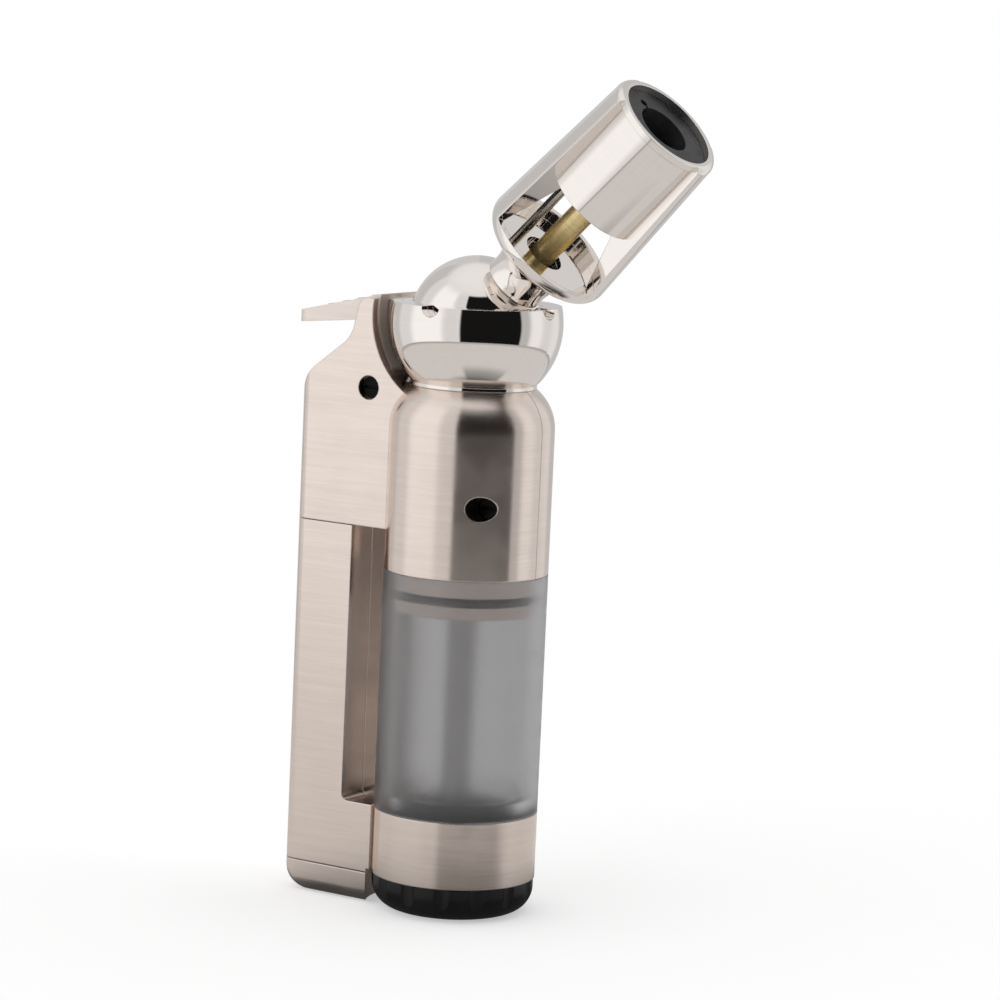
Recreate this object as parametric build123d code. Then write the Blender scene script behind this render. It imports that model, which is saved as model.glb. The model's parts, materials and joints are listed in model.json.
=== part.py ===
from build123d import *
import os
from math import cos, radians, sin, sqrt, tan

# Pocket butane torch with a ball-swivel burner head.
# Millimetres. +Z is up along the tank axis, +X is forward, away from the thumb lever, and +Y is the
# left side. The origin of the finished part is on the tank axis, in the plane that the knob and the
# rear foot stand on. Heights below are counted from a level just above that plane, and every piece is
# lifted by -standing_z when it is written.

# ---------------------------------------------------------------- driving dimensions
standing_z = -0.35       # underside of the knob and the foot
tank_r = 11.2            # outside radius of the bottom ring, the tank and the upper cylinder
knob_top = 4.4           # top of the flame adjuster knob, underside of the lower frame
ring_top = 13.5          # top of the frame's bottom ring, foot of the clear tank wall
window_top = 46.4        # top of the clear tank wall, foot of the upper housing
seam_z = 51.6            # joint between the rear column and the upper housing
neck_z = 71.5            # top of the housing's shoulder, foot of the ball socket
body_half = 7.0          # half thickness of the flat rear body
back_x = -24.3           # back face of the rear body
back_round = 2.6         # rounding of the two upright back edges
column_edge_x = -14.2    # front face of the rear column
wall = 1.2               # wall of the cast housing
side_wall = 1.1          # wall of the rear body's flat sides
shoulder_r = 7.0         # rounding from the cylinder up to the neck

ball_z = 80.0            # ball centre
ball_r = 9.1
socket_r = 11.7
rim_rise = 2.7           # rim plane above the ball centre
cradle_r = 12.2          # concave cut-out that the housing leaves round the socket
cradle_z = 80.6          # its centre height, on the tank axis
head_lean = 45.0         # head axis from upright, at rest

cup_r = 9.35             # burner head: radius of the cup at its rim
cup_s = 13.6             # distances s run along the head axis from the ball centre
cup_rim_s = 16.0
mouth_s = 40.05
mouth_r = 8.2
mouth_opening_r = 6.8
window_ring_r = 7.5      # outside of the mouth ring where it crosses a window
barrel_r = 7.05
barrel_s = 25.3
window_span = 115.0      # each of the two windows, degrees round the head axis
window_turn = -65.4      # centre of the first window, degrees from the head's own x axis

lever_half = 5.05        # half width of the thumb lever
pivot_x = -12.4          # thumb lever pivot, on the upper rear screw
pivot_z = 70.5
plunger_arm = 6.1        # pivot to the lever nose that presses the igniter
front_screw_x = 7.3
front_screw_z = 56.15
screw_hole_r = 1.65      # counterbore for both case screws
screw_head_r = 1.5
screw_r = 0.98
screw_slot_depth = 0.35

run = 0.05               # radial clearance of every running fit
gap = 0.02               # clearance between pieces that are fixed to each other
big = 60.0               # longer than the object, for cutting tools

HEAD = Pos(0, 0, ball_z) * Rot(0, head_lean, 0)


# ---------------------------------------------------------------- small tools
def rod(r, z0, z1, x=0.0, y=0.0):
    """Upright cylinder between two heights."""
    return Pos(x, y, (z0 + z1) / 2) * Cylinder(r, z1 - z0)


def tube(r_out, r_in, z0, z1):
    return rod(r_out, z0, z1) - rod(r_in, z0 - 1, z1 + 1)


def cross_rod(r, x, z, y0, y1):
    """Cylinder along Y at (x, z)."""
    return Pos(x, (y0 + y1) / 2, z) * Rot(90, 0, 0) * Cylinder(r, abs(y1 - y0))


def block(x0, x1, y0, y1, z0, z1):
    return Pos((x0 + x1) / 2, (y0 + y1) / 2, (z0 + z1) / 2) * Box(x1 - x0, y1 - y0, z1 - z0)


def slab(z0, z1):
    """Everything between two heights."""
    return block(-big, big, -big, big, z0, z1)


def ball(r, z=ball_z):
    return Pos(0, 0, z) * Sphere(r)


def turned(*edges):
    """Solid of revolution about Z from edges drawn as (radius, height)."""
    return revolve(Plane.XZ * make_face(Curve() + list(edges)), Axis.Z)


def turned_points(*points):
    return revolve(Plane.XZ * make_face(Polyline(*points, close=True)), Axis.Z)


def side_plate(face, y0, y1):
    """Solid from a face drawn as (x, z), between two values of y."""
    return Pos(0, y1, 0) * extrude(Plane.XZ * face, y1 - y0)


def side_outline(points, radii):
    return make_face(FilletPolyline(*points, radius=radii, close=True))


def coil(r, wire_r, z0, z1, turns):
    """Compression spring whose ends stay inside z0 and z1."""
    height = z1 - z0 - 2 * wire_r
    path = Helix(pitch=height / turns, height=height, radius=r)
    profile = Plane(origin=path @ 0, z_dir=path % 0) * Circle(wire_r)
    return Pos(0, 0, z0 + wire_r) * sweep(profile, path=path, is_frenet=True)


def o_ring(ring_r, cord_r, z):
    return Pos(0, 0, z) * Torus(ring_r, cord_r)


# ---------------------------------------------------------------- outer form of the rear body
def plan_rounding(z0, z1):
    """Upright prism that rounds the two back edges of the rear body."""
    outline = [(20, -body_half), (20, body_half), (back_x, body_half), (back_x, -body_half)]
    face = make_face(FilletPolyline(*outline, radius=[0, 0, back_round, back_round], close=True))
    return Pos(0, 0, z0) * extrude(face, z1 - z0)


def upper_body_points(inset=0.0):
    """Side outline of the housing behind the socket, without the concave cut-out."""
    return [
        (body_root_x, seam_z),
        (back_x + inset, seam_z),
        (back_x + inset, 70.5 - 0.5 * inset),
        (-15.57 + inset, 77.14 - 0.7 * inset),
        (-14.27 + inset, 82.6 - inset),
        (body_root_x, 82.6 - inset),
    ]


def cradle_cut(radius):
    return cross_rod(radius, 0, cradle_z, -big, big)


def shoulder_profile(r, top_r, foot_z, top_z, rounding):
    """Cylinder with a rounded shoulder that ends at top_r, as a solid."""
    centre_r = r - rounding
    rise = sqrt(rounding**2 - (top_r - centre_r) ** 2)
    bend_z = top_z - rise
    middle = radians(45)
    return turned(
        Line((0, foot_z), (r, foot_z)),
        Line((r, foot_z), (r, bend_z)),
        ThreePointArc(
            (r, bend_z),
            (centre_r + rounding * cos(middle * 0.8), bend_z + rounding * sin(middle * 0.8)),
            (top_r, top_z),
        ),
        Line((top_r, top_z), (0, top_z)),
        Line((0, top_z), (0, foot_z)),
    )


# ---------------------------------------------------------------- upper housing
body_root_x = -5.8       # the rear body runs into the cylinder up to here
bridge_back_x = -15.4    # back end of the floor that closes the housing over the window
cradle_wall = 0.55       # wall of the concave cut-out, between the socket and the lever
slot_z = 72.6            # floor of the lever slot
neck_hole_r = 5.05
ceiling_z = 69.8         # inside of the shoulder
boss_r = 2.9
boss_face = 4.6          # the rear bosses stop this far from the middle, clear of the lever
rear_head_y = -5.6       # seat of the rear screw's head
front_head_y = -5.2      # seat of the front screw's head


def housing_outer():
    cylinder = shoulder_profile(tank_r, 8.35, window_top, neck_z, shoulder_r)
    body = side_plate(
        side_outline(upper_body_points(), [0, 0, 8.0, 4.5, 1.4, 0]), -body_half, body_half
    )
    body = (body & plan_rounding(seam_z, 90)) - cradle_cut(cradle_r)
    socket_room = ball(socket_r + 0.15) + rod(9.2, neck_z, 74)
    return cylinder + (body - socket_room)


def housing_cavity():
    cylinder = shoulder_profile(tank_r - wall, 7.2, window_top - 1, ceiling_z, shoulder_r - wall)
    half = body_half - side_wall
    rear = side_plate(
        side_outline(upper_body_points(wall), [0, 0, 6.8, 4.5, 0.4, 0]), -half, half
    )
    rear = rear - block(bridge_back_x, 0, -half, half, seam_z - 1, seam_z + wall)
    rear = rear - cross_rod(cradle_r + cradle_wall, 0, cradle_z, -half, half)
    rear = rear & block(back_x, body_root_x, -half, half, seam_z - 1, ceiling_z + 8)
    slot = block(-big, 0, -half, half, slot_z, 2 * big)
    return cylinder + rear + slot


def housing_bosses():
    rear_near = cross_rod(boss_r, pivot_x, pivot_z, -body_half, -boss_face)
    rear_far = cross_rod(boss_r, pivot_x, pivot_z, boss_face, body_half)
    front = cross_rod(boss_r, front_screw_x, front_screw_z, -tank_r, tank_r)
    return rear_near, rear_far, front


def housing_screw_holes():
    deep = cross_rod(screw_hole_r, pivot_x, pivot_z, -big, rear_head_y)
    through = cross_rod(screw_r + 0.1, pivot_x, pivot_z, -big, 0)
    blind = cross_rod(screw_r + gap, pivot_x, pivot_z, -1, 6.0)
    front_deep = cross_rod(screw_hole_r, front_screw_x, front_screw_z, -big, front_head_y)
    front_through = cross_rod(screw_r + 0.1, front_screw_x, front_screw_z, -big, 0)
    front_blind = cross_rod(screw_r + gap, front_screw_x, front_screw_z, -1, 5.2)
    return deep + through + blind + front_deep + front_through + front_blind


def housing():
    outer = housing_outer()
    shell = outer - housing_cavity()
    for boss in housing_bosses():
        shell = shell + (boss & outer)
    neck_hole = rod(neck_hole_r, ceiling_z - 1, neck_z + 1)
    return shell - neck_hole - housing_screw_holes()


def housing_right():
    return housing() & block(-big, big, -big, -gap / 2, 0, 2 * big)


def housing_left():
    return housing() & block(-big, big, gap / 2, big, 0, 2 * big)


def case_screw(x, z, seat_y, head_height, tip_y):
    """Slotted screw along Y, pushed in from the right side, with its head on seat_y."""
    shank = cross_rod(screw_r, x, z, seat_y, tip_y)
    head = cross_rod(screw_head_r, x, z, seat_y - head_height, seat_y)
    slot_floor = seat_y - head_height + screw_slot_depth
    slot = block(x - 1.2, x + 1.2, -big, slot_floor, z - 0.2, z + 0.2)
    return shank + head - slot


def rear_case_screw():
    return case_screw(pivot_x, pivot_z, rear_head_y, 0.6, 5.9)


def front_case_screw():
    return case_screw(front_screw_x, front_screw_z, front_head_y, 1.0, 5.0)


# ---------------------------------------------------------------- lower frame, foot and knob
cavity_front_x = -17.0   # the igniter stands in a cavity of the column
cavity_half = 5.0
cavity_floor = 42.0
ring_wall = 1.2
lip_top = 6.0
foot_screw_x = -17.6
foot_seat_z = 1.6        # seat of the foot screw's head
bridge_root_x = -6.0     # the frame's bridge runs into the ring up to here
seam_gap = 0.12          # open joint line under the upper housing
groove_width = 0.3       # sunk line where the rear body meets the ring
foot_seam_z = 3.95       # underside of the column, on the foot cap
foot_gap = 0.85          # open gap between the knob and the foot
foot_edges = ((0, 4.0), (30, 3.7), (60, 2.8), (90, 1.8))    # direction from back, edge rounding
web_half = 2.0           # half thickness of the web between the column and the tank


def lower_frame():
    ring = rod(tank_r, knob_top, ring_top)
    outline = [
        (bridge_root_x, foot_seam_z),
        (back_x, foot_seam_z),
        (back_x, seam_z - seam_gap),
        (column_edge_x, seam_z - seam_gap),
        (column_edge_x, ring_top - 0.1),
        (bridge_root_x, ring_top - 0.1),
    ]
    body = side_plate(side_outline(outline, [0, 0, 0, 0, 1.0, 0]), -body_half, body_half)
    body = (body & plan_rounding(0, 90)) - rod(knob_r + foot_gap, 0, knob_top)
    groove = tube(tank_r + groove_width, tank_r, knob_top, ring_top)
    groove = groove - block(-big, big, -body_half + 0.4, body_half - 0.4, 0, big)
    tongue = block(-21.9, -15.6, -5.8, 5.8, seam_z - 2, seam_z + 4)
    cavity = block(back_x + wall, cavity_front_x, -cavity_half, cavity_half, cavity_floor, big)
    bore = rod(tank_r - ring_wall, lip_top, ring_top + 1) + rod(8.0, 0, lip_top + 1)
    screw = rod(screw_r + gap, knob_top - 1, knob_top + 5, foot_screw_x)
    web = block(column_edge_x - 1, -8.0, -web_half, web_half, ring_top - 1, seam_z - seam_gap)
    web = web - rod(tank_r + 0.12, ring_top - 1, big)
    return ring + (body - groove) + web + tongue - cavity - bore - screw


def foot_edge(turn, rounding):
    """Everything inside the foot's rounded lower edge, where it faces turn degrees from back."""
    outline = [(big, standing_z), (-back_round, standing_z), (-back_round, big), (big, big)]
    inside = side_plate(side_outline(outline, [0, rounding, 0, 0]), -big, big)
    corner_y = body_half - back_round
    return Pos(back_x + back_round, -corner_y, 0) * Rot(0, 0, turn) * inside


def foot_cap():
    foot = plan_rounding(standing_z, foot_seam_z - 0.1) & block(-big, -5, -big, big, -1, 10)
    for turn, rounding in foot_edges:
        inside = foot_edge(turn, rounding)
        foot = foot & inside & mirror(inside, Plane.XZ)
    foot = foot - rod(knob_r + foot_gap, -1, 10) - rod(screw_r + 0.12, -1, 10, foot_screw_x)
    return foot - rod(2.1, -1, foot_seat_z, foot_screw_x)


def foot_screw():
    head = rod(1.95, 0.5, foot_seat_z, foot_screw_x)
    slot = block(foot_screw_x - 1.5, foot_screw_x + 1.5, -0.25, 0.25, 0, 1.0)
    return head + rod(screw_r, foot_seat_z, knob_top + 4.5, foot_screw_x) - slot


knob_r = 11.05
knob_flutes = 14
hub_top = 6.2
valve_cup_r = 3.2        # lower end of the adjuster tube, which holds the fill valve
fill_port_r = 2.2
port_top = 1.6           # foot of the fill valve's cup, top of the fill port
valve_bore_r = 2.5       # bore of that cup


def adjuster_knob():
    edge = 3.4
    top = knob_top - 0.1
    low = standing_z
    s45 = sin(radians(45))
    body = turned(
        Line((0, low), (knob_r - edge, low)),
        ThreePointArc(
            (knob_r - edge, low),
            (knob_r - edge + edge * s45, low + edge - edge * s45),
            (knob_r, low + edge),
        ),
        Line((knob_r, low + edge), (knob_r, top)),
        Line((knob_r, top), (0, top)),
        Line((0, top), (0, low)),
    )
    flute_r = 1.6
    for i in range(knob_flutes):
        a = radians(360 * (i + 0.5) / knob_flutes)
        where = knob_r + flute_r - 0.45
        body = body - rod(flute_r, -1, 10, where * cos(a), where * sin(a))
    hub = rod(4.6, top - 0.5, hub_top)
    return body + hub - rod(valve_cup_r + gap, port_top, 10) - rod(fill_port_r, -1, 2)


# ---------------------------------------------------------------- tank and flame adjuster
joint_line = 0.08        # open line between the tank's wall and the metal above and below it
floor_low = 6.4
floor_high = 9.0
tank_bore_r = 9.6
needle_r = 0.7
nozzle_r = 0.95          # fill nozzle
nozzle_tip = 2.0


def tank():
    wall_part = tube(tank_r, tank_bore_r, ring_top + joint_line, window_top - joint_line)
    step = tube(tank_r - 0.4, 8.4, ring_top + gap, ring_top + 2.2)
    spigot = tube(tank_r - ring_wall - gap, 8.4, lip_top + gap, ring_top + 1)
    floor = rod(9.0, floor_low, floor_high) + rod(5.6, floor_low, floor_high + 0.9)
    gland = rod(4.5, 7.2, 8.6)
    return wall_part + step + spigot + floor - rod(valve_cup_r + run, 0, 20) - gland


def gland_ring():
    return o_ring(3.85, 0.6, 7.9)


def tank_cap():
    skirt = tube(tank_bore_r - run, 8.2, 41.0, window_top)
    plate = rod(tank_bore_r - run, 45.4, 48.8)
    boss = rod(4.6, 43.6, 46)
    groove = tube(tank_bore_r + 1, 8.75, 42.7, 43.9)
    return skirt + plate + boss - groove - rod(3.0 + gap, 40, 50)


def tank_seal():
    return o_ring(9.17, 0.4, 43.3)


def adjuster_tube():
    """Turns with the knob: fill valve cup, long stem and the needle that meters the gas."""
    cup = rod(valve_cup_r, port_top + gap, 9.6)
    stem = rod(1.9, 9, 43.7)
    needle = rod(needle_r, 43, 46.6)
    tip = Pos(0, 0, 47.1) * Cone(needle_r, 0.25, 1.0)
    fill_way = rod(1.1, 8, 14)
    side_way = cross_rod(0.6, 0, 12, -5, 5)
    return cup + stem + needle + tip - rod(valve_bore_r, 1, 8.8) - fill_way - side_way


def fill_valve_body():
    body = rod(valve_bore_r - gap, 3.2, 8.6)
    chamber = rod(1.9, 4.2, 8.0)
    return body - chamber - rod(nozzle_r + run, 1, 5) - rod(0.6, 7, 9)


def fill_seal():
    return tube(1.8, 1.05, 4.22, 4.6)


def fill_valve_stem():
    nozzle = rod(nozzle_r, nozzle_tip, 5) - rod(0.45, 1, 4.2)
    return nozzle + rod(1.5, 4.64, 5.4) + rod(0.6, 5, 6.2)


def fill_spring():
    return coil(1.2, 0.17, 5.45, 7.95, 4)


# ---------------------------------------------------------------- outlet valve and its lever
seat_z = 50.2
stem_r = 0.75
collar_low = 57.5
rocker_x = -3.6
rocker_z = 57.0
rocker_arm = 9.4
rocker_half = 2.3
rocker_pin_r = 0.75


def outlet_valve_body():
    lower = rod(3.0, 44.0, 49)
    hexagon = Pos(0, 0, 48.85) * extrude(RegularPolygon(3.6, 6), 1.5)
    upper = rod(3.0, 50, 55)
    inlet = rod(0.85, 40, 50)
    chamber = rod(1.8, 49.5, 53.2)
    guide = rod(stem_r + run, 53, 56)
    return lower + hexagon + upper - inlet - chamber - guide


def valve_seat():
    return tube(1.75, 0.5, 49.52, seat_z - gap)


def valve_stem():
    foot = rod(1.45, seat_z, 50.9)
    collar = rod(2.1, collar_low, 58.3)
    return rod(stem_r, 50.5, 62.0) + foot + collar - rod(0.35, 52, 63)


def valve_spring():
    return coil(1.15, 0.15, 50.95, 53.15, 3)


def valve_bracket():
    plate = tube(8.5, 4.7, 48.85, 49.8)
    post = block(rocker_x - 1.8, rocker_x + 1.8, 3.3, 4.3, 49, 58.7)
    posts = post + mirror(post, Plane.XZ)
    return plate + posts - cross_rod(rocker_pin_r + gap, rocker_x, rocker_z, -6, 6)


def rocker_pin():
    return cross_rod(rocker_pin_r, rocker_x, rocker_z, -4.6, 4.6)


def valve_lever():
    """Rocker that lifts the valve stem when the igniter's lug pushes its rear nose down."""
    nose_x = rocker_x - rocker_arm
    nose_z = 64.35
    arm = make_face(
        Polyline(
            (rocker_x - 0.3, rocker_z - 1.5),
            (nose_x - 0.7, nose_z - 0.7),
            (nose_x + 0.7, nose_z + 0.7),
            (rocker_x + 1.3, rocker_z + 1.0),
            close=True,
        )
    )
    fork = block(rocker_x, 0.7, -rocker_half, rocker_half, 55.9, 57.2)
    fingers = block(-0.9, 0.0, -rocker_half, rocker_half, 56.5, collar_low - 0.05)
    fork = fork + fingers - block(-1.3, 3, -stem_r - 0.2, stem_r + 0.2, 50, 60)
    body = side_plate(arm, -rocker_half, rocker_half)
    body = body + cross_rod(1.5, rocker_x, rocker_z, -3.2, 3.2)
    body = body + cross_rod(1.0, nose_x, nose_z, -rocker_half, rocker_half) + fork
    return body - cross_rod(rocker_pin_r + run, rocker_x, rocker_z, -6, 6)


def gas_hose():
    return tube(hose_r, hose_bore_r, 60.3, ball_z - 0.9)


# ---------------------------------------------------------------- thumb lever and igniter
sleeve_r = 1.9
nose_r = 1.2
piezo_top = 63.0
plunger_back_x = -21.2
plunger_front_x = -17.4
plunger_half = 3.4
tab_tip_x = -26.3
tab_tip_z = 79.75
tab_slope = 0.2423       # rise of the thumb tab's top for each millimetre forward
grip_rib_x = (-21.6, -19.2, -16.8, -14.4)
channel_half = 3.2       # shallow channel down the lever's concave front


def lever_outline():
    """Lever seen from the side: thumb tab, concave front and the arm that presses the igniter."""
    front_r = cradle_r + 0.25
    top_front = (-sqrt(front_r**2 - (83.1 - cradle_z) ** 2), 83.1)
    low = radians(36)
    low_front = (-front_r * cos(low), cradle_z - front_r * sin(low))
    middle = radians(12)
    front = ThreePointArc(
        top_front, (-front_r * cos(middle), cradle_z - front_r * sin(middle)), low_front
    )
    rear = Polyline(
        low_front,
        (pivot_x + 1.8, pivot_z + 0.5),
        (pivot_x - 2.4, pivot_z - 0.4),
        (-17.3, 69.8),
        (-19.6, 70.4),
        (-18.9, 72.5),
        (-17.0, 75.2),
        (-15.2, 76.7),
        (-14.75, 79.45),
        (tab_tip_x + 0.1, 78.2),
        (tab_tip_x, tab_tip_z),
        top_front,
    )
    return make_face(Curve() + [front, rear])


def thumb_lever():
    lever = side_plate(lever_outline(), -lever_half, lever_half)
    nose_x = pivot_x - plunger_arm
    lever = lever + cross_rod(nose_r, nose_x, pivot_z - 0.3, -lever_half, lever_half)
    lever = lever + cross_rod(boss_r, pivot_x, pivot_z, -lever_half, lever_half)
    tip_x = tab_tip_x - 0.05
    plan = [(20, -lever_half), (20, lever_half), (tip_x, lever_half), (tip_x, -lever_half)]
    rounded_plan = make_face(FilletPolyline(*plan, radius=[0, 0, 2.0, 2.0], close=True))
    lever = lever & Pos(0, 0, big) * extrude(rounded_plan, big)
    tab_edges = lever.edges().filter_by(Axis.Y).group_by(Axis.X)[0]
    lever = fillet(tab_edges, 0.6)
    for x in grip_rib_x:
        top_z = tab_tip_z + (x - tab_tip_x) * tab_slope
        lever = lever + cross_rod(0.35, x, top_z - 0.2, -lever_half + 1.2, lever_half - 1.2)
    pocket = cross_rod(boss_r + 0.3, pivot_x, pivot_z, boss_face - 0.2, 8)
    lever = lever - pocket - mirror(pocket, Plane.XZ)
    channel = block(-14, -9, -channel_half, channel_half, 74.2, 82.2) & cradle_cut(cradle_r + 1.1)
    ridge = block(-14, -9, channel_half - 1.1, channel_half - 0.6, 70, 90)
    lever = lever - (channel - ridge - mirror(ridge, Plane.XZ))
    return lever - cross_rod(sleeve_r + run, pivot_x, pivot_z, -8, 8)


def pivot_sleeve():
    tube_y = cross_rod(sleeve_r, pivot_x, pivot_z, -boss_face + gap, boss_face - gap)
    return tube_y - cross_rod(screw_r + gap, pivot_x, pivot_z, -8, 8)


def piezo_body():
    body = block(-21.5, -17.05, -4.5, 4.5, 43.0, piezo_top)
    half = plunger_half + run
    return body - block(plunger_back_x - run, plunger_front_x + run, -half, half, 56, 70)


def piezo_plunger():
    top = pivot_z - 0.3 - nose_r - 0.03
    body = block(plunger_back_x, plunger_front_x, -plunger_half, plunger_half, 59.4, top)
    lug = block(plunger_front_x - 0.1, -12.2, -2.6, 2.6, 65.45, 67.0)
    return body + lug


def ignition_wire():
    path = Spline(
        (-18.2, 4.98, 56.3),
        (-17.2, 5.1, 58.5),
        (-12.5, 5.1, 61.5),
        (-6.5, 4.2, 63.5),
        (-2.6, 1.2, 65.2),
        (-1.95, 0.0, 68.0),
        (-1.95, 0.0, 70.2),
    )
    return sweep(Plane(origin=path @ 0, z_dir=path % 0) * Circle(0.42), path=path)


# ---------------------------------------------------------------- ball joint
rim_z = ball_z + rim_rise
seat_bore_r = 10.15
liner_low = 73.7
liner_high = 79.8
notch_r = 1.4


def rim_notches():
    cut = cross_rod(notch_r, 0, rim_z, -15, 15)
    return cut + Rot(0, 0, 90) * cut


def socket_cup():
    flange_low = neck_z + gap
    flange = turned_points((0, flange_low), (8.5, flange_low), (8.5, 72.0), (9.05, 72.6), (0, 72.6))
    bowl = ball(socket_r) & slab(72.3, rim_z)
    stub = rod(neck_hole_r - run, 66.8, neck_z + 1) + rod(6.6, 68.2, ceiling_z - run)
    liner_seat = ball(seat_bore_r) & slab(liner_low - run, ball_z)
    thread = rod(seat_bore_r, ball_z - 0.2, rim_z + 1)
    cup = flange + bowl + stub - liner_seat - thread - ball(ball_r + 0.15)
    return cup - rod(2.9, 60, 75) - rim_notches()


def retaining_ring():
    ring = rod(seat_bore_r - gap, ball_z - 0.1, rim_z)
    return ring - ball(ball_r + run) - rim_notches()


def ball_liner():
    shell = ball(seat_bore_r - run) - ball(ball_r + run)
    return shell & slab(liner_low, liner_high)


ball_bore_r = 3.2
ball_hollow_r = 7.3
ball_opening = 58.0      # half angle of the ball's open underside


def swivel_ball():
    opening_h = ball_r + 1
    opening = Pos(0, 0, -opening_h / 2) * Cone(opening_h * tan(radians(ball_opening)), 0, opening_h)
    shell = Sphere(ball_r) - Sphere(ball_hollow_r) - opening - rod(ball_bore_r, 0, 12)
    return HEAD * shell


# ---------------------------------------------------------------- burner head, along its own axis
neck_root_r = 4.22
floor_s = 14.4           # polished floor inside the cup
jet_r = 1.75
jet_seat_s = 11.6        # floor of the counterbore that the gas jet screws into
jet_well_r = 2.9         # counterbore and the hole in the cup's floor, round the jet
electrode_r = 4.3        # distance of the electrode and the air holes from the head axis
air_hole_r = 0.8
hose_r = 1.3
hose_bore_r = stem_r + run
shroud_seat_s = mouth_s - 0.95   # inside of the lip that holds the ceramic disc
flange_low_s = mouth_s - 1.6
disc_r = 6.85            # flange of the ceramic disc, in a counterbore of the burner tube


def neck():
    clear_r = ball_r + run
    stub = rod(ball_bore_r - run, 4.4, 10)
    root_s = sqrt(clear_r**2 - neck_root_r**2)
    flare = turned(
        Line((0, 6), (neck_root_r, 6)),
        Line((neck_root_r, 6), (neck_root_r, root_s + 0.5)),
        ThreePointArc((neck_root_r, root_s + 0.5), (4.7, 11.6), (6.1, cup_s - gap)),
        Line((6.1, cup_s - gap), (0, cup_s - gap)),
        Line((0, cup_s - gap), (0, 6)),
    )
    flare = flare - Sphere(clear_r)
    groove = tube(4, ball_bore_r - 0.6, 4.95, 5.55)
    return HEAD * (stub + flare - groove - rod(1.5, 0, 20) - rod(jet_well_r, jet_seat_s, 20))


def neck_clip():
    ring = tube(4.2, ball_bore_r - 0.55, 5.0, 5.5)
    return HEAD * (ring - block(0, 6, -0.8, 0.8, 4, 6))


def shroud_outer():
    edge = 2.2
    rim_r = mouth_r - 0.9
    s45 = sin(radians(45))
    return turned(
        Line((0, cup_s), (cup_r - edge, cup_s)),
        ThreePointArc(
            (cup_r - edge, cup_s),
            (cup_r - edge + edge * s45, cup_s + edge - edge * s45),
            (cup_r, cup_s + edge),
        ),
        Line((cup_r, cup_s + edge), (mouth_r, mouth_s - 1.1)),
        ThreePointArc(
            (mouth_r, mouth_s - 1.1), (mouth_r - 0.2, mouth_s - 0.35), (rim_r, mouth_s)
        ),
        Line((rim_r, mouth_s), (0, mouth_s)),
        Line((0, mouth_s), (0, cup_s)),
    )


def window_cut(turn):
    """Wedge from the cup's rim to the mouth ring, opening one window."""
    half = radians(window_span / 2)
    reach = 20
    wedge = make_face(
        Polyline(
            (0, 0),
            (reach * cos(half), -reach * sin(half)),
            (2 * reach, 0),
            (reach * cos(half), reach * sin(half)),
            close=True,
        )
    )
    cut = Pos(0, 0, cup_rim_s) * extrude(wedge, shroud_seat_s - cup_rim_s)
    return Rot(0, 0, turn) * cut


def shroud():
    seat_r = barrel_r + gap
    cavity = turned_points(
        (0, floor_s),
        (8.5, floor_s),
        (8.5, cup_rim_s - 0.2),
        (5.0, barrel_s),
        (seat_r, barrel_s),
        (seat_r, shroud_seat_s),
        (mouth_opening_r, shroud_seat_s),
        (mouth_opening_r, mouth_s + 1),
        (0, mouth_s + 1),
    )
    body = shroud_outer() - cavity - rod(jet_well_r, cup_s - 1, floor_s + 1)
    for turn in (window_turn, window_turn + 180):
        body = body - window_cut(turn)
    ring_edge = tube(mouth_r + 1, window_ring_r, shroud_seat_s, mouth_s + 1)
    for turn in (window_turn, window_turn + 180):
        body = body - (ring_edge & (Pos(0, 0, mouth_s - cup_rim_s - 1) * window_cut(turn)))
    return HEAD * body


def burner_tube():
    outer = rod(barrel_r, barrel_s + gap, shroud_seat_s - gap)
    inner = rod(6.3, barrel_s + 1.2, mouth_s) + rod(disc_r + gap, flange_low_s - gap, mouth_s)
    holes = rod(jet_r + 0.08, 20, 30) + rod(air_hole_r, 20, 30, -electrode_r)
    for i in range(6):
        a = radians(60 * i + 30)
        holes = holes + rod(air_hole_r, 20, 30, electrode_r * cos(a), electrode_r * sin(a))
    return HEAD * (outer - inner - holes)


def gas_jet():
    body = rod(jet_r, jet_seat_s + gap, 27.6) + rod(1.45, 9.6, jet_seat_s + 0.5)
    return HEAD * (body - rod(0.8, 5, 26.6) - rod(0.3, 26, 28))


def head_hose():
    return HEAD * tube(hose_r, hose_bore_r, 0.9, 9.4)


def electrode_insulator():
    tube_s = rod(0.68, floor_s + gap, 31.0, -electrode_r) - rod(0.27, 10, 40, -electrode_r)
    return HEAD * tube_s


def electrode_wire():
    return HEAD * rod(0.25, floor_s + gap, 37.8, -electrode_r)


def flame_holder():
    disc = rod(6.28, 33.0, shroud_seat_s - gap)
    disc = disc + rod(disc_r, flange_low_s, shroud_seat_s - gap)
    main = rod(3.7, 30, 45)
    electrode_hole = rod(0.55, 30, 45, -electrode_r - 0.25)
    slot = block(-electrode_r, -3, -0.2, 0.2, 30, 45)
    return HEAD * (disc - main - electrode_hole - slot)


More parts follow.
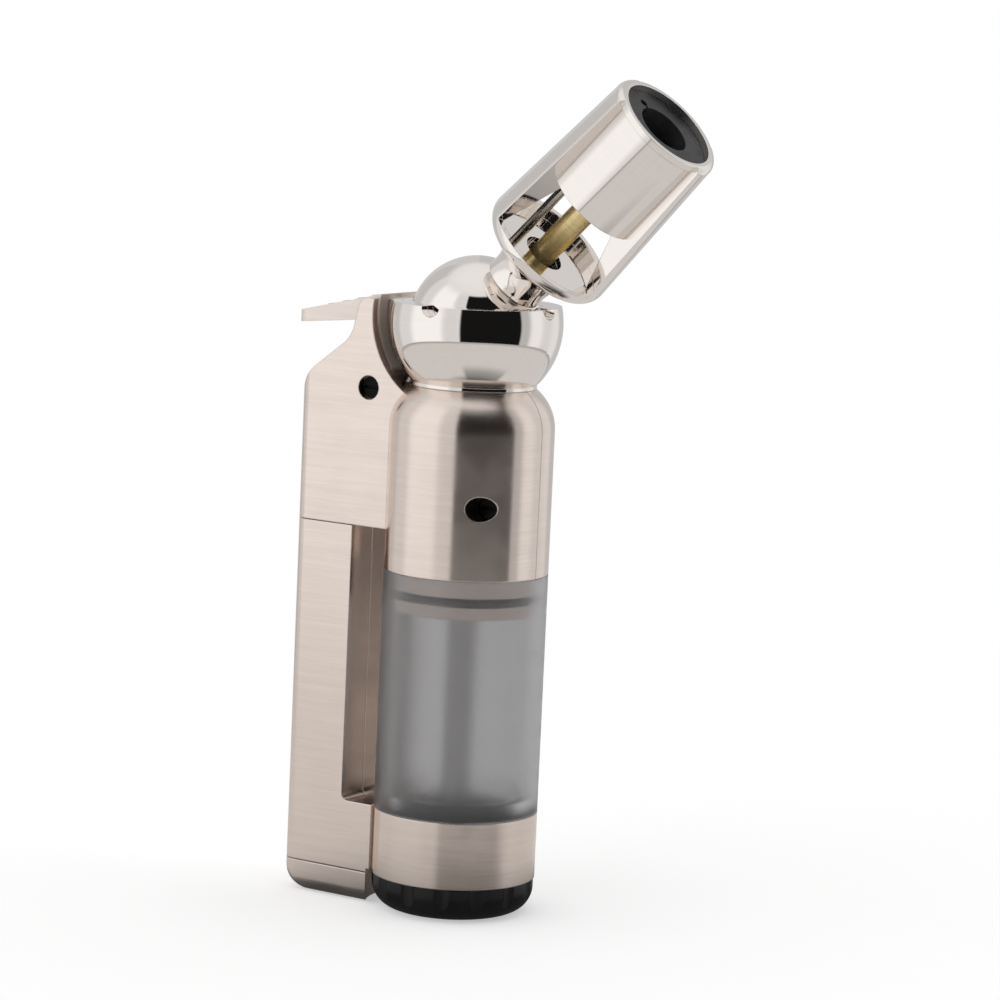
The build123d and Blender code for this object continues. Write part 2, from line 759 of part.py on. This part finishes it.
# ---------------------------------------------------------------- write one file per piece
PIECES = {
    "housing_right": housing_right,
    "housing_left": housing_left,
    "rear_case_screw": rear_case_screw,
    "front_case_screw": front_case_screw,
    "lower_frame": lower_frame,
    "foot_cap": foot_cap,
    "foot_screw": foot_screw,
    "adjuster_knob": adjuster_knob,
    "adjuster_tube": adjuster_tube,
    "gland_ring": gland_ring,
    "fill_valve_body": fill_valve_body,
    "fill_seal": fill_seal,
    "fill_valve_stem": fill_valve_stem,
    "fill_spring": fill_spring,
    "tank": tank,
    "tank_cap": tank_cap,
    "tank_seal": tank_seal,
    "outlet_valve_body": outlet_valve_body,
    "valve_seat": valve_seat,
    "valve_stem": valve_stem,
    "valve_spring": valve_spring,
    "valve_bracket": valve_bracket,
    "rocker_pin": rocker_pin,
    "valve_lever": valve_lever,
    "gas_hose": gas_hose,
    "thumb_lever": thumb_lever,
    "pivot_sleeve": pivot_sleeve,
    "piezo_body": piezo_body,
    "piezo_plunger": piezo_plunger,
    "ignition_wire": ignition_wire,
    "socket_cup": socket_cup,
    "retaining_ring": retaining_ring,
    "ball_liner": ball_liner,
    "swivel_ball": swivel_ball,
    "neck": neck,
    "neck_clip": neck_clip,
    "shroud": shroud,
    "burner_tube": burner_tube,
    "gas_jet": gas_jet,
    "head_hose": head_hose,
    "electrode_insulator": electrode_insulator,
    "electrode_wire": electrode_wire,
    "flame_holder": flame_holder,
}

os.makedirs("parts", exist_ok=True)
for name, make in PIECES.items():
    export_step(Pos(0, 0, -standing_z) * make(), f"parts/{name}.step")
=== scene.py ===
"""Looks of the pocket torch: procedural finishes, studio surroundings, floor and camera.

Metres, in the frame of the CAD model: +Z up along the tank, +X forward, origin under the tank.
"""

import json
import math

import bpy
from mathutils import Matrix, Vector

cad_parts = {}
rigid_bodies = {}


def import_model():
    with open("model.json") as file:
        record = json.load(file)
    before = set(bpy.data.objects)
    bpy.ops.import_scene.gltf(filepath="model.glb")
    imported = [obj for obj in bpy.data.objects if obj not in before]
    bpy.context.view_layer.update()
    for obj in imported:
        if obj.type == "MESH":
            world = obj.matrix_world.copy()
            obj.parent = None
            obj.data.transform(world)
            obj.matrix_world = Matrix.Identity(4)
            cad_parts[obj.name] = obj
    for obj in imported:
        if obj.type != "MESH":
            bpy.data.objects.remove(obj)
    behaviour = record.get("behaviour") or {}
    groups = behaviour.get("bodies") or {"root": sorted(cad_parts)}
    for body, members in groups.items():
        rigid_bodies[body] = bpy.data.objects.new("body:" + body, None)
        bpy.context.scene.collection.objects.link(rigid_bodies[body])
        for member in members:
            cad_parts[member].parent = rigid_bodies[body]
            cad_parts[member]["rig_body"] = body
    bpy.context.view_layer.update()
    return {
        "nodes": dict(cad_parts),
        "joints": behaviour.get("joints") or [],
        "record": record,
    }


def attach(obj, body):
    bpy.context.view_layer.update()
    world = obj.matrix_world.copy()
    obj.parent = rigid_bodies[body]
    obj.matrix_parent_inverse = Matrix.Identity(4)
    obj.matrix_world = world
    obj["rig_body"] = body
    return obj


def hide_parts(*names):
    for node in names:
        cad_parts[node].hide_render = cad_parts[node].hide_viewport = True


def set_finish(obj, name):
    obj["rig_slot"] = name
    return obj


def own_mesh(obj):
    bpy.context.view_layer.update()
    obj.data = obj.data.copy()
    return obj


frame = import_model()
nodes = frame["nodes"]
joints = {joint["name"]: joint for joint in frame["joints"]}
scene = bpy.context.scene

MM = 0.001
UPRIGHT = (0.0, 0.0, 1.0)
BALL_CENTRE = Vector(joints["head_spin"]["pos_m"])
HEAD_LEAN = math.radians(45)
HEAD_AXIS = (math.sin(HEAD_LEAN), 0.0, math.cos(HEAD_LEAN))

# Camera: the side of the torch that it sees, its place, and its slight turn, drop and tilt.
CAMERA_SIDE = math.radians(33)
CAMERA_PLACE = Vector((0.2837, -0.4368, 0.1272))
CAMERA_YAW = 0.008
CAMERA_PITCH = 0.135
CAMERA_ROLL = 0.045
CAMERA_LENS = 139.75
SENSOR_WIDTH = 36.0

# Studio directions are in degrees. Azimuth 0 points to the camera and grows towards picture right.
# Each wall has an azimuth it starts and ends at, the softness of its ends, and a brightness.
WALLS = (
    (-200, -160, 14, 0.62),
    (-160, -122, 14, 0.56),
    (-122, -96, 14, 0.74),
    (-96, -45, 16, 1.00),
    (-45, -24, 14, 0.72),
    (60, 78, 10, 0.50),
    (78, 100, 14, 0.88),
    (100, 122, 14, 0.72),
    (122, 142, 14, 0.80),
    (142, 200, 14, 0.56),
)
WALL_BOTTOM = -60
WALL_TOP = 50
WALL_EDGE = 16
CEILING_FROM = 40
CEILING_TO = 75
CEILING_LOW_LEVEL = 0.78
CEILING_TOP_LEVEL = 0.86

# Black card in front of the torch.
CARD_FROM = -22
CARD_TO = 62
CARD_BOTTOM = -24
CARD_TOP = 50
CARD_EDGE = 4
CARD_LEVEL = 0.008

# Glowing table top in the reflections: brightness in the open, at the far edge, with painted shade
# under the card and a painted contact shadow close to the torch, and the distances that each change
# runs over.
TABLE_RADIUS = 0.22
TABLE_DROP = 1 * MM
TABLE_TINT = (1.0, 0.975, 0.95)
TABLE_LEVEL = 0.64
TABLE_EDGE_LEVEL = 0.40
TABLE_EDGE_FROM = 0.185
TABLE_EDGE_TO = 0.215
CARD_SHADE_LEVEL = 0.30
CARD_SHADE_INNER = 0.04
CARD_SHADE_OUTER = 0.075
CARD_SHADE_EDGE = 12
CONTACT_SHADOW_LEVEL = 0.06
CONTACT_SHADOW_INNER = 0.02
CONTACT_SHADOW_OUTER = 0.045

# Floor: white paper with a glow, which turns to plain white away from the torch.
FLOOR_RADIUS = 30.0
FLOOR_GLOW = 0.46
PAPER_DARK = 0.80
PAPER_LIGHT = 0.82
PLAIN_FROM = 0.06
PLAIN_TO = 0.25
WHITE = (1.0, 1.0, 1.0, 1.0)

BEVEL_SAMPLES = 6
DISC_SIDES = 128


# ------------------------------------------------------------------ shader building blocks
class Graph:
    """Adds shader nodes. An input is a number, a colour, another node or another node's output."""

    def __init__(self, tree):
        self.tree = tree
        tree.nodes.clear()

    def feed(self, socket, value):
        if isinstance(value, bpy.types.Node):
            value = value.outputs[0]
        if isinstance(value, bpy.types.NodeSocket):
            self.tree.links.new(value, socket)
        else:
            socket.default_value = value

    def add(self, kind, inputs=None, **settings):
        node = self.tree.nodes.new(kind)
        for name, value in settings.items():
            setattr(node, name, value)
        for key, value in (inputs or {}).items():
            self.feed(node.inputs[key], value)
        return node

    def math(self, operation, *values):
        node = self.add("ShaderNodeMath", operation=operation)
        for socket, value in zip(node.inputs, values):
            self.feed(socket, value)
        return node.outputs[0]

    def vector(self, operation, *values):
        node = self.add("ShaderNodeVectorMath", operation=operation)
        for socket, value in zip(node.inputs, values):
            self.feed(socket, value)
        gives_number = operation in ("DOT_PRODUCT", "LENGTH")
        return node.outputs["Value"] if gives_number else node.outputs[0]

    def smooth(self, value, start, end, low=0.0, high=1.0):
        """Goes softly from low to high as value goes from start to end."""
        limits = {"Value": value, "From Min": start, "From Max": end, "To Min": low, "To Max": high}
        return self.add("ShaderNodeMapRange", limits, interpolation_type="SMOOTHSTEP").outputs[0]

    def band(self, value, start, end, softness):
        """1 between start and end, 0 outside, with soft edges."""
        half = softness / 2
        rise = self.smooth(value, start - half, start + half)
        fall = self.smooth(value, end - half, end + half, 1.0, 0.0)
        return self.math("MULTIPLY", rise, fall)

    def mix(self, share, a, b):
        node = self.add("ShaderNodeMix", {0: share, 2: a, 3: b}, data_type="FLOAT")
        return node.outputs[0]

    def mix_colour(self, share, a, b):
        node = self.add("ShaderNodeMix", {0: share, 6: a, 7: b}, data_type="RGBA")
        return node.outputs[2]

    def noise(self, place, scale=1.0, detail=2.0, rough=0.5):
        settings = {"Vector": place, "Scale": scale, "Detail": detail, "Roughness": rough}
        return self.add("ShaderNodeTexNoise", settings).outputs["Fac"]

    def stretched(self, place, across, along):
        """The place with its scale changed across and along its Z axis."""
        return self.vector("MULTIPLY", place, (across, across, along))

    def object_place(self):
        return self.add("ShaderNodeTexCoord").outputs["Object"]

    def soft_edges(self, radius_mm):
        return self.add("ShaderNodeBevel", {"Radius": radius_mm * MM}, samples=BEVEL_SAMPLES)

    def raised(self, pattern, height_mm, normal=None):
        """Normal of a surface that the pattern lifts by up to the given height."""
        height = self.math("MULTIPLY", pattern, height_mm * MM)
        inputs = {"Strength": 1.0, "Distance": 1.0, "Height": height}
        if normal is not None:
            inputs["Normal"] = normal
        return self.add("ShaderNodeBump", inputs)


def rgba(colour, level=1.0):
    return (colour[0] * level, colour[1] * level, colour[2] * level, 1.0)


def grey(level):
    return (level, level, level, 1.0)


def place_in_mm(graph, axis):
    """Position on the resting object in millimetres, with Z along the given axis of the object."""
    place = graph.object_place()
    if axis is HEAD_AXIS:
        turn = {"Vector": place, "Center": BALL_CENTRE, "Angle": -HEAD_LEAN}
        place = graph.add("ShaderNodeVectorRotate", turn, rotation_type="Y_AXIS").outputs[0]
    return graph.stretched(place, 1 / MM, 1 / MM)


def tangent_along(graph, axis):
    turn = graph.add(
        "ShaderNodeVectorTransform",
        {"Vector": axis},
        vector_type="VECTOR",
        convert_from="OBJECT",
        convert_to="WORLD",
    )
    return turn.outputs[0]


def new_material(name):
    material = bpy.data.materials.new(name)
    material.use_nodes = True
    return material, Graph(material.node_tree)


def close(graph, surface):
    graph.add("ShaderNodeOutputMaterial", {"Surface": surface})


def close_principled(graph, inputs):
    close(graph, graph.add("ShaderNodeBsdfPrincipled", inputs))


# ------------------------------------------------------------------ finishes
def metal(
    name,
    colour,
    roughness,
    axis=UPRIGHT,
    anisotropy=0.0,
    line_pitch=0.12,
    line_depth=0.0,
    line_shade=0.06,
    smudge=0.05,
    edge_radius=0.12,
    metallic=1.0,
):
    """Plated or plain metal with brush or turning lines round an axis, smudges and worn edges.

    Pitch, depth and radius are in millimetres. Smudge is how much it adds to the roughness.
    """
    material, graph = new_material(name)
    place = place_in_mm(graph, axis)
    lines = graph.noise(graph.stretched(place, 0.10, 1 / line_pitch), detail=5.0, rough=0.65)
    broad_lines = graph.noise(graph.stretched(place, 0.05, 1.1), detail=2.0, rough=0.6)
    smudges = graph.smooth(graph.noise(place, 0.16, 3.0, 0.55), 0.35, 0.7)

    soft_edge = graph.soft_edges(edge_radius)
    true_normal = graph.add("ShaderNodeNewGeometry").outputs["Normal"]
    bend = graph.vector("DOT_PRODUCT", soft_edge.outputs[0], true_normal)
    edge_wear = graph.smooth(bend, 0.995, 0.90)

    fine_share = graph.math("MULTIPLY", lines, 0.6)
    broad_share = graph.math("MULTIPLY", broad_lines, 0.4)
    shade = graph.smooth(graph.math("ADD", fine_share, broad_share), 0.32, 0.68)
    rough = graph.mix(smudges, roughness, roughness + smudge)
    rough = graph.mix(shade, rough, graph.math("MULTIPLY", rough, 0.9))
    rough = graph.mix(edge_wear, rough, roughness + 0.08)
    close_principled(
        graph,
        {
            "Base Color": graph.mix_colour(shade, rgba(colour, 1 - line_shade), rgba(colour)),
            "Metallic": metallic,
            "Roughness": rough,
            "Anisotropic": anisotropy,
            "Tangent": tangent_along(graph, axis),
            "Normal": graph.raised(lines, line_depth, soft_edge),
        },
    )
    return material


def moulded(name, colour, roughness, grain=0.004, sheen=0.0, edge_radius=0.12, subsurface=0.0):
    """Moulded plastic, rubber or ceramic with a fine grain, rubbed patches and soft edges.

    Grain height and edge radius are in millimetres.
    """
    material, graph = new_material(name)
    place = place_in_mm(graph, UPRIGHT)
    fine = graph.noise(place, 9.0, 4.0, 0.6)
    rubbed = graph.smooth(graph.noise(place, 0.35, 4.0, 0.6), 0.42, 0.68)
    close_principled(
        graph,
        {
            "Base Color": graph.mix_colour(rubbed, rgba(colour, 0.85), rgba(colour, 1.1)),
            "Roughness": graph.mix(rubbed, roughness - 0.05, roughness + 0.06),
            "Sheen Weight": sheen,
            "Subsurface Weight": subsurface,
            "Subsurface Scale": 1.0 * MM,
            "Normal": graph.raised(fine, grain, graph.soft_edges(edge_radius)),
        },
    )
    return material


def frosted_tank(name):
    """Smoke-grey clear plastic with a frosted outside, a little rougher in patches."""
    material, graph = new_material(name)
    place = place_in_mm(graph, UPRIGHT)
    frost = graph.noise(place, 5.0, 3.0, 0.6)
    rubbed = graph.smooth(graph.noise(graph.stretched(place, 0.25, 0.6), 1.0, 4.0, 0.6), 0.35, 0.7)
    close_principled(
        graph,
        {
            "Base Color": graph.mix_colour(frost, rgba(SMOKE_DARK), rgba(SMOKE_LIGHT)),
            "Roughness": graph.mix(rubbed, 0.29, 0.34),
            "Transmission Weight": 0.94,
            "IOR": 1.40,
            "Normal": graph.raised(frost, 0.002),
        },
    )
    return material


NICKEL = (0.86, 0.755, 0.69)
# Painted light: the thumb lever's nickel is a lighter copy of NICKEL, to brighten its front strip
# where its channel leaves it dark.
LEVER_NICKEL_PAINTED_LIGHTER = (0.88, 0.79, 0.73)
POLISHED = (0.92, 0.87, 0.83)
STEEL = (0.60, 0.59, 0.58)
BRASS = (0.95, 0.71, 0.30)
LIT_BRASS = (1.0, 0.80, 0.40)
BLACK = (0.015, 0.015, 0.015)
SMOKE_DARK = (0.60, 0.595, 0.60)
SMOKE_LIGHT = (0.65, 0.645, 0.65)

finishes = {
    "brushed_nickel": metal(
        "brushed_nickel",
        NICKEL,
        0.22,
        anisotropy=0.85,
        line_depth=0.0010,
        line_shade=0.07,
        edge_radius=0.22,
    ),
    # Thumb lever: satin nickel in a painted lighter colour, and only partly metallic so that it
    # takes up more light.
    "satin_lever_painted_light": metal(
        "satin_lever_painted_light", LEVER_NICKEL_PAINTED_LIGHTER, 0.36, line_pitch=0.2, line_depth=0.0006, metallic=0.7
    ),
    "inner_metal": metal("inner_metal", NICKEL, 0.16, anisotropy=0.5, line_depth=0.0004),
    "polished_nickel": metal(
        "polished_nickel", POLISHED, 0.035, line_pitch=0.3, line_shade=0.02, smudge=0.02
    ),
    "polished_head": metal(
        "polished_head",
        POLISHED,
        0.04,
        axis=HEAD_AXIS,
        line_pitch=0.25,
        line_depth=0.0001,
        line_shade=0.03,
        smudge=0.025,
    ),
    "steel": metal("steel", STEEL, 0.28, line_depth=0.001),
    "brass": metal("brass", BRASS, 0.22, line_pitch=0.15, line_depth=0.001),
    "brass_head": metal(
        "brass_head",
        LIT_BRASS,
        0.34,
        axis=HEAD_AXIS,
        line_pitch=0.22,
        line_depth=0.003,
        line_shade=0.2,
        metallic=0.8,
    ),
    "steel_head": metal("steel_head", STEEL, 0.22, axis=HEAD_AXIS, line_depth=0.0003),
    "black_screw": metal("black_screw", BLACK, 0.5, line_depth=0.001),
    "black_plastic": moulded("black_plastic", (0.008, 0.008, 0.009), 0.34),
    "grey_seal": moulded("grey_seal", (0.30, 0.29, 0.28), 0.45),
    "rubber": moulded("rubber", BLACK, 0.7, sheen=0.2),
    "nylon": moulded("nylon", (0.72, 0.70, 0.64), 0.45, subsurface=0.2),
    "ceramic": moulded("ceramic", (0.035, 0.035, 0.04), 0.5, grain=0.006),
    "wire_cover": moulded("wire_cover", (0.45, 0.04, 0.03), 0.5),
    "smoked_plastic": frosted_tank("smoked_plastic"),
}

# Pieces of the head have lines round its leaning axis. A few pieces have a finish of their own, and
# the thumb lever's is nickel painted lighter.
head_variant = {"polished_nickel": "polished_head", "brass": "brass_head", "steel": "steel_head"}
own_finish = {"thumb_lever": "satin_lever_painted_light", "tank_cap": "inner_metal", "tank_seal": "grey_seal"}


def dress_cad_nodes():
    slots = {row["node"]: row["material_slot"] for row in frame["record"]["subparts"]}
    for name, node in nodes.items():
        finish = slots[name]
        if node["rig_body"] == "burner_head":
            finish = head_variant.get(finish, finish)
        finish = own_finish.get(name, finish)
        node.data.materials.clear()
        node.data.materials.append(finishes[finish])
        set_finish(node, slots[name])


def coil_that_compresses(name):
    """Stands for a coil spring: a copy of the part's mesh on the part's body and in its slot, with
    the part itself hidden.
    """
    node = nodes[name]
    coil = bpy.data.objects.new(name + "_coil", node.data.copy())
    scene.collection.objects.link(coil)
    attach(coil, node["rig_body"])
    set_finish(coil, node["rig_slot"])
    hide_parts(name)
    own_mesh(coil)


# ------------------------------------------------------------------ surroundings, floor, camera
def azimuth_of(graph, ray):
    """Azimuth of a direction, in degrees."""
    towards = (math.sin(CAMERA_SIDE), -math.cos(CAMERA_SIDE), 0.0)
    right = (math.cos(CAMERA_SIDE), math.sin(CAMERA_SIDE), 0.0)
    across = graph.vector("DOT_PRODUCT", ray, right)
    ahead = graph.vector("DOT_PRODUCT", ray, towards)
    return graph.math("DEGREES", graph.math("ARCTAN2", across, ahead))


def elevation_of(graph, ray):
    """Height of a direction above level, in degrees."""
    rise = graph.vector("DOT_PRODUCT", ray, UPRIGHT)
    return graph.math("DEGREES", graph.math("ARCSINE", rise))


def studio_surroundings():
    """Pale walls, a ceiling and a black card that show in the metal. The camera sees plain white."""
    world = bpy.data.worlds.new("studio")
    scene.world = world
    world.use_nodes = True
    graph = Graph(world.node_tree)
    ray = graph.add("ShaderNodeTexCoord").outputs["Generated"]
    azimuth = azimuth_of(graph, ray)
    elevation = elevation_of(graph, ray)

    level = graph.smooth(
        elevation, CEILING_FROM, CEILING_TO, CEILING_LOW_LEVEL, CEILING_TOP_LEVEL
    )
    wall_height = graph.band(elevation, WALL_BOTTOM, WALL_TOP, WALL_EDGE)
    for start, end, softness, brightness in WALLS:
        share = graph.math("MULTIPLY", graph.band(azimuth, start, end, softness), wall_height)
        level = graph.mix(share, level, brightness)
    card_width = graph.band(azimuth, CARD_FROM, CARD_TO, CARD_EDGE)
    card_height = graph.band(elevation, CARD_BOTTOM, CARD_TOP, CARD_EDGE)
    level = graph.mix(graph.math("MULTIPLY", card_width, card_height), level, CARD_LEVEL)
    colour = graph.vector("MULTIPLY", WHITE[:3], level)
    seen_directly = graph.add("ShaderNodeLightPath").outputs["Is Camera Ray"]
    shown = graph.mix_colour(seen_directly, colour, WHITE)
    background = graph.add("ShaderNodeBackground", {"Color": shown, "Strength": 1.0})
    graph.add("ShaderNodeOutputWorld", {"Surface": background})


def level_disc(name, radius, height):
    bpy.ops.mesh.primitive_circle_add(
        vertices=DISC_SIDES, radius=radius, fill_type="NGON", location=(0, 0, height)
    )
    disc = bpy.context.object
    disc.name = name
    material, graph = new_material(name)
    disc.data.materials.append(material)
    return disc, graph


def mirrored_table():
    """Glowing warm grey disc for the table top, seen only in reflections, with a painted contact
    shadow and painted card shade near the torch, darker far away.
    """
    table, graph = level_disc("table", TABLE_RADIUS, -TABLE_DROP)
    place = graph.object_place()
    distance = graph.vector("LENGTH", place)
    cloth = graph.noise(place, 60.0, 3.0)
    level = graph.smooth(
        distance, TABLE_EDGE_FROM, TABLE_EDGE_TO, TABLE_LEVEL, TABLE_EDGE_LEVEL
    )
    # Painted shade: the glow drops on the card's side near the torch, where the card shades the
    # table.
    card_shade_side = graph.band(azimuth_of(graph, place), CARD_FROM, CARD_TO, CARD_SHADE_EDGE)
    card_shade_near = graph.smooth(distance, CARD_SHADE_OUTER, CARD_SHADE_INNER)
    level = graph.mix(graph.math("MULTIPLY", card_shade_side, card_shade_near), level, CARD_SHADE_LEVEL)
    # Painted contact shadow: the glow drops close to the torch, where the torch shades the table.
    painted_contact_shadow = graph.smooth(distance, CONTACT_SHADOW_OUTER, CONTACT_SHADOW_INNER)
    level = graph.mix(painted_contact_shadow, level, CONTACT_SHADOW_LEVEL)
    level = graph.math("MULTIPLY", level, graph.mix(cloth, 0.96, 1.04))
    tone = graph.vector("MULTIPLY", TABLE_TINT, level)
    close(graph, graph.add("ShaderNodeEmission", {"Color": tone, "Strength": 1.0}))
    table.visible_camera = False
    table.visible_diffuse = False
    table.visible_transmission = False
    table.visible_shadow = False


def white_floor():
    floor, graph = level_disc("floor", FLOOR_RADIUS, 0.0)
    place = graph.object_place()
    distance = graph.vector("LENGTH", place)
    paper = graph.mix_colour(graph.noise(place, 900.0, 3.0), grey(PAPER_DARK), grey(PAPER_LIGHT))
    sheet = graph.add("ShaderNodeBsdfDiffuse", {"Color": paper})
    glow = graph.add("ShaderNodeEmission", {"Color": WHITE, "Strength": FLOOR_GLOW})
    near = graph.add("ShaderNodeAddShader", {0: sheet, 1: glow})
    far = graph.add("ShaderNodeEmission", {"Color": WHITE, "Strength": 1.0})
    share = graph.smooth(distance, PLAIN_FROM, PLAIN_TO)
    close(graph, graph.add("ShaderNodeMixShader", {0: share, 1: near, 2: far}))
    floor.visible_glossy = False


def photo_camera():
    def to_row(x, y, z):
        c = math.cos(CAMERA_SIDE)
        s = math.sin(CAMERA_SIDE)
        return Vector((x * c - y * s, x * s + y * c, z))

    forward = to_row(
        math.sin(CAMERA_YAW) * math.cos(CAMERA_PITCH),
        math.cos(CAMERA_YAW) * math.cos(CAMERA_PITCH),
        -math.sin(CAMERA_PITCH),
    )
    level_right = to_row(math.cos(CAMERA_YAW), -math.sin(CAMERA_YAW), 0.0)
    level_up = level_right.cross(forward)
    right = level_right * math.cos(CAMERA_ROLL) + level_up * math.sin(CAMERA_ROLL)
    up = level_up * math.cos(CAMERA_ROLL) - level_right * math.sin(CAMERA_ROLL)
    placed = Matrix((right, up, -forward)).transposed().to_4x4()
    placed.translation = CAMERA_PLACE
    data = bpy.data.cameras.new("camera")
    data.lens = CAMERA_LENS
    data.sensor_width = SENSOR_WIDTH
    camera = bpy.data.objects.new("camera", data)
    camera.matrix_world = placed
    scene.collection.objects.link(camera)
    scene.camera = camera


dress_cad_nodes()
coil_that_compresses("fill_spring")
coil_that_compresses("valve_spring")
studio_surroundings()
mirrored_table()
white_floor()
photo_camera()
scene.view_settings.view_transform = "Standard"
